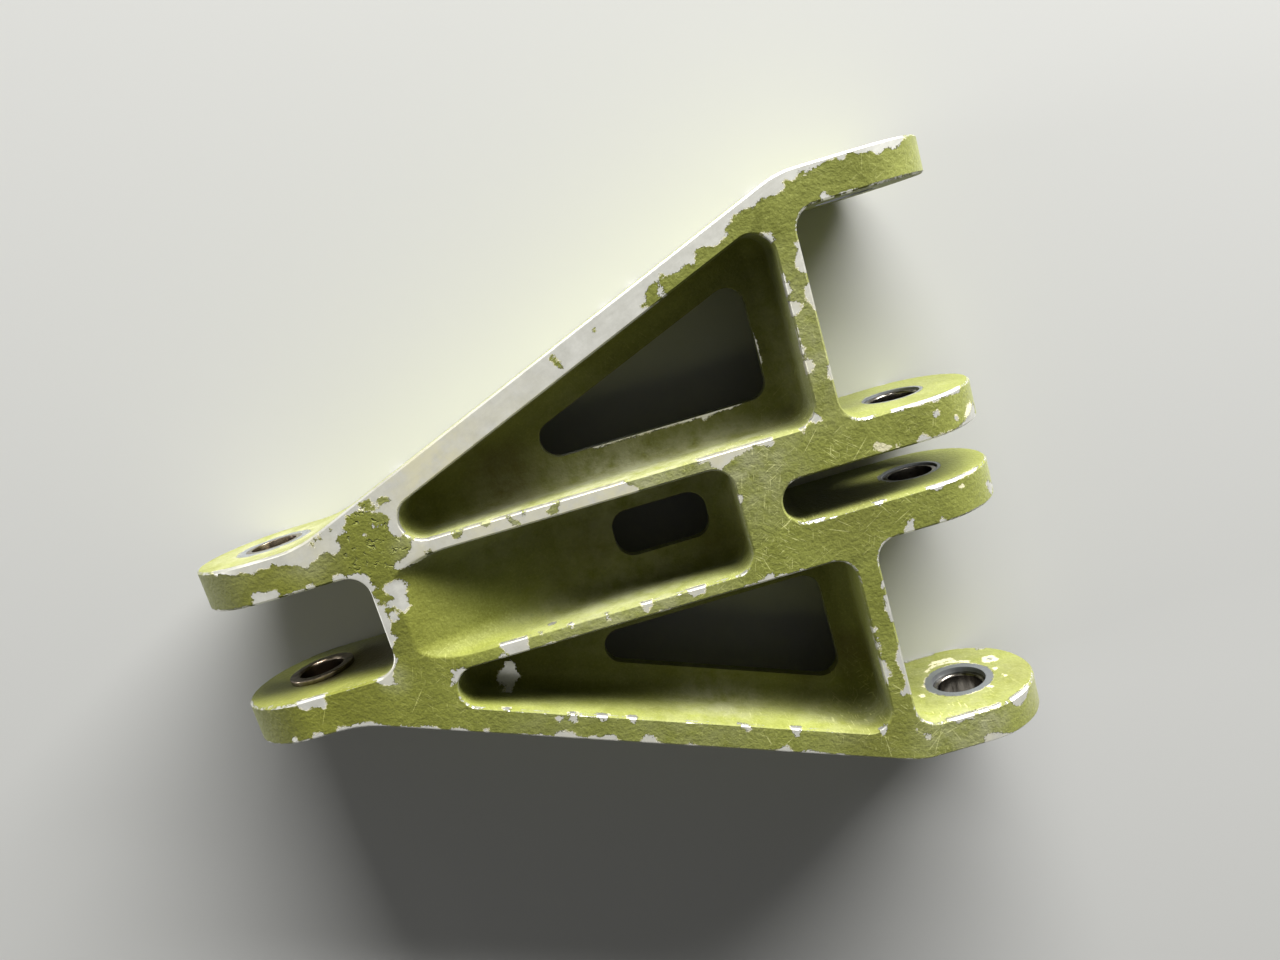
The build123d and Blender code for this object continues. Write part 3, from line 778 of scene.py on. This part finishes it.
# Pale dust mixed into the primer, which also lays on the painted sheen of the lit walls.
dust_and_sheen_mask = add_node(tree, "ShaderNodeTexNoise", Vector=place, Scale=0.25, Detail=5, Roughness=0.6).outputs[0]
dust_and_sheen_mask = add_node(tree, "ShaderNodeMapRange",
                   Value=dust_and_sheen_mask, From_Min=0.3, From_Max=0.6, To_Max=0.6).outputs[0]
dust_and_sheen_mask = add_node(tree, "ShaderNodeMath", multiply, _0=dust_and_sheen_mask, _1=dust_and_sheen).outputs[0]
coat = add_node(tree, "ShaderNodeMix", colours, _0=dust_and_sheen_mask, _6=coat, _7=linear(dust_and_sheen_colour)).outputs[2]

# A dark line in places along the step at the edge of a chip: a painted shadow of the step.
broken = add_node(tree, "ShaderNodeTexNoise", Vector=place, Scale=0.35, Detail=2, Roughness=0.5).outputs[0]
step = add_node(tree, "ShaderNodeMapRange", Value=chip_line, From_Min=-0.17, From_Max=-0.08).outputs[0]
step_shadow = add_node(tree, "ShaderNodeMapRange",
                 Value=broken, From_Min=0.56, From_Max=0.48, To_Max=0.8).outputs[0]
step_shadow = add_node(tree, "ShaderNodeMath", multiply, _0=step, _1=step_shadow).outputs[0]
coat = add_node(tree, "ShaderNodeMix", colours, _0=step_shadow, _6=coat, _7=linear(step_shadow_colour)).outputs[2]

# A broken cream line round a chip, partly the filler under the top coat and partly a painted highlight on
# the coat's step. The filler also shows in whole patches.
rim_filler_and_highlight = add_node(tree, "ShaderNodeMapRange", Value=chip_line, From_Min=-0.2, From_Max=-0.13).outputs[0]
broken = add_node(tree, "ShaderNodeMapRange", Value=broken, From_Min=0.5, From_Max=0.58).outputs[0]
rim_filler_and_highlight = add_node(tree, "ShaderNodeMath", multiply, _0=rim_filler_and_highlight, _1=broken).outputs[0]
filler_line = add_node(tree, "ShaderNodeMath", {"operation": "ADD"}, _0=filler, _1=waver).outputs[0]
filled = add_node(tree, "ShaderNodeMapRange", Value=filler_line, From_Min=-0.05, From_Max=0.05).outputs[0]
cream = add_node(tree, "ShaderNodeMath", larger, _0=rim_filler_and_highlight, _1=filled).outputs[0]
coat = add_node(tree, "ShaderNodeMix", colours, _0=cream, _6=coat, _7=linear(filler_and_highlight_colour)).outputs[2]

# Bare aluminium: dull and handled, with fine scratches along the rails.
tarnish = add_node(tree, "ShaderNodeTexNoise", Vector=place, Scale=0.3, Detail=8, Roughness=0.78).outputs[0]
tarnish_mix = add_node(tree, "ShaderNodeMapRange", Value=tarnish, From_Min=0.3, From_Max=0.85).outputs[0]
metal = add_node(tree, "ShaderNodeMix", colours, _0=tarnish_mix,
                 _6=linear(metal_colour), _7=linear(metal_dull)).outputs[2]
ivory = add_node(tree, "ShaderNodeMath", multiply, _0=dust_and_sheen_mask, _1=1.3).outputs[0]
metal = add_node(tree, "ShaderNodeMix", colours, _0=ivory, _6=metal, _7=linear(ivory_colour)).outputs[2]
metal = add_node(tree, "ShaderNodeMix", colours, _0=polish, _6=metal, _7=linear(polished_colour)).outputs[2]
specks = add_node(tree, "ShaderNodeTexNoise", Vector=place, Scale=1.3, Detail=4, Roughness=0.7).outputs[0]
specks = add_node(tree, "ShaderNodeMapRange",
                  Value=specks, From_Min=0.71, From_Max=0.76, To_Max=0.7).outputs[0]
metal = add_node(tree, "ShaderNodeMix", colours, _0=specks, _6=metal, _7=linear(speck_colour)).outputs[2]
along = add_node(tree, "ShaderNodeMapping", stretched, Vector=place, Rotation=(0, 0, 0.37),
                 Scale=(8, 0.33, 1)).outputs[0]
scratches = add_node(tree, "ShaderNodeTexNoise", Vector=along, Scale=1, Detail=4, Roughness=0.6).outputs[0]

surface = add_node(tree, "ShaderNodeMix", colours, _0=bare, _6=coat, _7=metal).outputs[2]
coat_rough = add_node(tree, "ShaderNodeMapRange", Value=grain, To_Min=0.5, To_Max=0.66).outputs[0]
metal_rough = add_node(tree, "ShaderNodeMapRange", Value=scratches, To_Min=0.4, To_Max=0.66).outputs[0]
rough = add_node(tree, "ShaderNodeMix", numbers, _0=bare, _2=coat_rough, _3=metal_rough).outputs[0]

# Relief in mm: the coat stands a tenth above the metal, with orange peel, and a patch of dents
# by the upper ear where it has been knocked.
peel_height = 0.17
coat_base = 0.04
dent_depth = 0.35
scratch_depth = 0.015
knocked_place = (25, 18, 16)
knocked_radius = 9
knocked_middle = 5
peel = add_node(tree, "ShaderNodeTexNoise", Vector=place, Scale=1.1, Detail=4, Roughness=0.6).outputs[0]
coat_height = add_node(tree, "ShaderNodeMath", multiply_add,
                       _0=peel, _1=peel_height, _2=coat_base).outputs[0]
dents = add_node(tree, "ShaderNodeTexNoise", Vector=place, Scale=0.7, Detail=2, Roughness=0.5,
                 Distortion=0.4).outputs[0]
dents = add_node(tree, "ShaderNodeMapRange",
                 Value=dents, From_Min=0.6, From_Max=0.7, To_Max=dent_depth).outputs[0]
knocked = add_node(tree, "ShaderNodeVectorMath", {"operation": "DISTANCE"},
                   _0=place, _1=knocked_place).outputs["Value"]
knocked = add_node(tree, "ShaderNodeMapRange",
                   Value=knocked, From_Min=knocked_radius, From_Max=knocked_middle).outputs[0]
dents = add_node(tree, "ShaderNodeMath", multiply, _0=dents, _1=knocked).outputs[0]
coat_height = add_node(tree, "ShaderNodeMath", {"operation": "SUBTRACT"},
                       _0=coat_height, _1=dents).outputs[0]
metal_height = add_node(tree, "ShaderNodeMath", multiply, _0=scratches, _1=scratch_depth).outputs[0]
height = add_node(tree, "ShaderNodeMix", numbers, _0=bare,
                  _2=coat_height, _3=metal_height).outputs[0]
relief = add_node(tree, "ShaderNodeBump", Strength=1, Distance=MM, Height=height).outputs[0]
shader = add_node(tree, "ShaderNodeBsdfPrincipled", Base_Color=surface, Metallic=bare, Roughness=rough,
                  Normal=relief, Specular_IOR_Level=0.2, Sheen_Weight=0.2, Sheen_Roughness=0.4)
add_node(tree, "ShaderNodeOutputMaterial", Surface=shader.outputs[0])

body_mesh.materials.append(primer)
link = bpy.data.objects.new("link", body_mesh)
bpy.context.scene.collection.objects.link(link)
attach(link, "root")
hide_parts("link_body")

# Bushings of the fork. Two flanged steel bushings, turned and reamed, pressed in from the inside of
# the fork with the flange against the ear, never painted.
mark_depth = 0.006
streak_shape = (1, 6, 1)


def turned_steel(name, axis_x, colour, streak_colour):
    """Turned steel, with fine rings about a hinge axis that stands at axis_x mm."""
    steel = bpy.data.materials.new(name)
    steel.use_nodes = True
    tree = steel.node_tree
    tree.nodes.clear()
    coordinates = add_node(tree, "ShaderNodeTexCoord").outputs["Object"]
    place = add_node(tree, "ShaderNodeVectorMath", {"operation": "SCALE"},
                     Vector=coordinates, Scale=1 / MM).outputs[0]
    middle = add_node(tree, "ShaderNodeVectorMath", {"operation": "SUBTRACT"},
                      _0=place, _1=(axis_x, 0, 0)).outputs[0]
    apart = add_node(tree, "ShaderNodeSeparateXYZ", Vector=middle)
    flat = add_node(tree, "ShaderNodeCombineXYZ", X=apart.outputs["X"], Z=apart.outputs["Z"]).outputs[0]
    radius = add_node(tree, "ShaderNodeVectorMath", {"operation": "LENGTH"}, Vector=flat).outputs["Value"]
    ring = add_node(tree, "ShaderNodeCombineXYZ", X=radius, Y=apart.outputs["Y"]).outputs[0]
    # Tool marks 0.15 mm apart, a little wider than the real feed so that they show.
    marks = add_node(tree, "ShaderNodeTexNoise", Vector=ring, Scale=6.5, Detail=2, Roughness=0.5).outputs[0]
    # Dark streaks along the bore, each a millimetre or two wide: painted reflections, partly old grease.
    streaked = add_node(tree, "ShaderNodeMapping", stretched, Vector=place, Scale=streak_shape).outputs[0]
    grime_and_painted_light = add_node(tree, "ShaderNodeTexNoise",
                     Vector=streaked, Scale=0.7, Detail=5, Roughness=0.65).outputs[0]
    streak_mix = add_node(tree, "ShaderNodeMapRange", Value=grime_and_painted_light, From_Min=0.45, From_Max=0.7).outputs[0]
    surface = add_node(tree, "ShaderNodeMix", colours, _0=streak_mix,
                       _6=linear(colour), _7=linear(streak_colour)).outputs[2]
    rough = add_node(tree, "ShaderNodeMapRange", Value=grime_and_painted_light, To_Min=0.1, To_Max=0.34).outputs[0]
    relief = add_node(tree, "ShaderNodeBump", Strength=1, Distance=mark_depth * MM, Height=marks).outputs[0]
    shader = add_node(tree, "ShaderNodeBsdfPrincipled", Base_Color=surface, Roughness=rough, Normal=relief,
                      Metallic=1.0)
    add_node(tree, "ShaderNodeOutputMaterial", Surface=shader.outputs[0])
    return steel


def turned(name, profile, axis_x, steel):
    """A turned piece: corners Y and R of half its section in mm, each lightly rounded."""
    corners = np.array(profile)
    outline = []
    for before, corner, after in zip(np.roll(corners, 1, axis=0), corners, np.roll(corners, -1, axis=0)):
        start = corner + (before - corner) / np.linalg.norm(before - corner) * edge_rounding
        end = corner + (after - corner) / np.linalg.norm(after - corner) * edge_rounding
        for t in (0, 0.35, 0.65, 1):
            outline.append((1 - t) ** 2 * start + 2 * t * (1 - t) * corner + t ** 2 * end)
    mesh = bmesh.new()
    rings = []
    for step in range(around):
        angle = 2 * math.pi * step / around
        rings.append([mesh.verts.new(Vector((axis_x + r * math.sin(angle), y, r * math.cos(angle))) * MM)
                      for y, r in outline])
    for ring, following in zip(rings, rings[1:] + rings[:1]):
        for i in range(len(outline)):
            j = (i + 1) % len(outline)
            mesh.faces.new((ring[i], ring[j], following[j], following[i]))
    bmesh.ops.recalc_face_normals(mesh, faces=mesh.faces)
    data = bpy.data.meshes.new(name)
    mesh.to_mesh(data)
    mesh.free()
    data.shade_smooth()
    data.set_sharp_from_angle(angle=math.radians(35))
    data.materials.append(steel)
    piece = bpy.data.objects.new(name, data)
    bpy.context.scene.collection.objects.link(piece)
    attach(piece, "root")
    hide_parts(name.replace("steel_", ""))


bore_radius = 4.7625
mouth_chamfer = 0.35
edge_rounding = 0.13
around = 112
fork_inside = 11.0
fork_outside = 19.6
flange_radius = 7.0
flange_face = 9.9

# The narrow bushings' steel is dark and warm: a painted dark, warm reflection in the bores.
narrow_colour, narrow_streaks = "8c8070", "40352a"
narrow_steel = turned_steel("turned_steel_narrow", 0, narrow_colour, narrow_streaks)
for side, hand in ((1, "left"), (-1, "right")):
    half_section = [(fork_outside, bore_radius), (fork_outside, bushing_radius),
                    (fork_inside, bushing_radius), (fork_inside, flange_radius),
                    (flange_face, flange_radius), (flange_face, bore_radius + mouth_chamfer),
                    (flange_face + mouth_chamfer, bore_radius)]
    turned("steel_narrow_bushing_" + hand, [(side * y, r) for y, r in half_section], 0, narrow_steel)

# Bushings of the wide end. Four plain steel bushings pressed into the ears, reamed in line, their
# ends a little below the ears' faces. The chamfered mouths face the bays.
# The wide bushings' steel is dark: a painted dark reflection in the bores.
wide_colour, wide_streaks = "7a756d", "2c2822"
wide_steel = turned_steel("turned_steel_wide", hinge_spacing, wide_colour, wide_streaks)
bushing_ends = {"outer": (56.2, 62.5), "inner": (12.25, 5.05)}
for ear, (bay_end, far_end) in bushing_ends.items():
    inward = math.copysign(mouth_chamfer, far_end - bay_end)
    half_section = [(bay_end, bushing_radius), (bay_end, bore_radius + mouth_chamfer),
                    (bay_end + inward, bore_radius), (far_end, bore_radius), (far_end, bushing_radius)]
    for side, hand in ((1, "left"), (-1, "right")):
        turned("steel_wide_" + ear + "_bushing_" + hand, [(side * y, r) for y, r in half_section],
               hinge_spacing, wide_steel)
